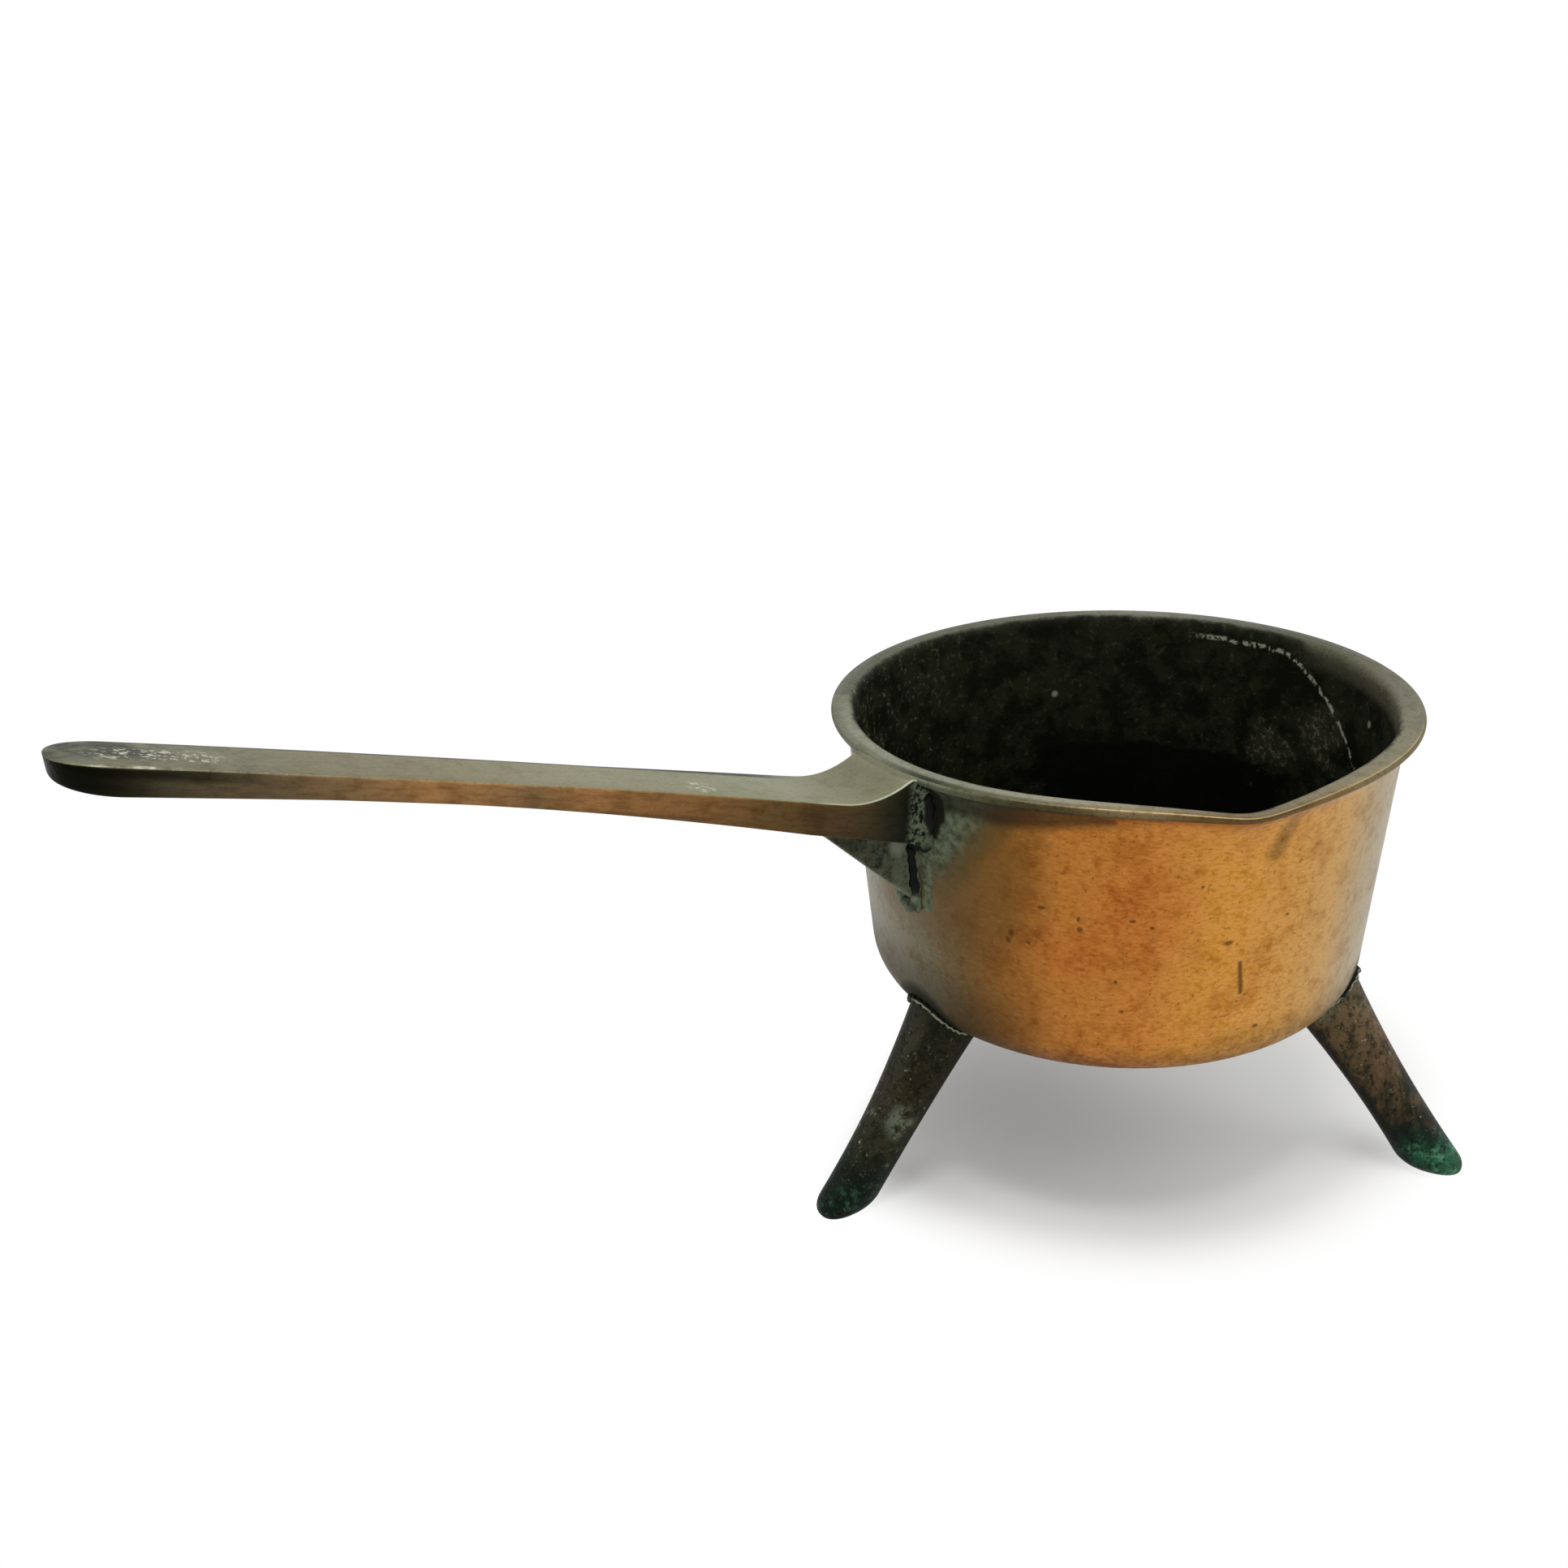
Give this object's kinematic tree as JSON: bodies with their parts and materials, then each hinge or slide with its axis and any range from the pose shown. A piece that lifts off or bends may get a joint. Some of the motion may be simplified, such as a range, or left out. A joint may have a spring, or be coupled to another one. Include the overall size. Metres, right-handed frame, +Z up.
{
  "type": "three-legged skillet",
  "caption": "Footed hearth skillet in cast bell metal: deep pan with a flanged lip and pouring spout, a long bar handle on a triangular stay, and splayed peg legs.",
  "frame": {"origin": "on the floor, midway between the ends of the whole object along X and in the middle of its width along Y", "axes": "+Z up, -X from the pan towards the end of the handle; the pan's own axis is upright at x = +0.0988 m"},
  "size_m": [0.3656, 0.1902, 0.1915],
  "materials": {
    "bell_metal": "rubbed copper-gold metal with brown and olive tarnish, near-black inside",
    "handle_bronze": "olive-grey patina on top, reddish brown on the sides",
    "leg_bronze": "dark brown patina, dark green at the feet",
    "braze": "dull grey-green verdigris"
  },
  "bodies": {
    "root": {"pan": "bell_metal", "handle": "handle_bronze", "handle_stay": "handle_bronze", "root_braze": "braze", "stay_braze": "braze", "leg_under_handle": "leg_bronze", "leg_under_handle_braze": "braze", "leg_spout_side": "leg_bronze", "leg_spout_side_braze": "braze", "leg_far_side": "leg_bronze", "leg_far_side_braze": "braze"}
  },
  "joints": []
}
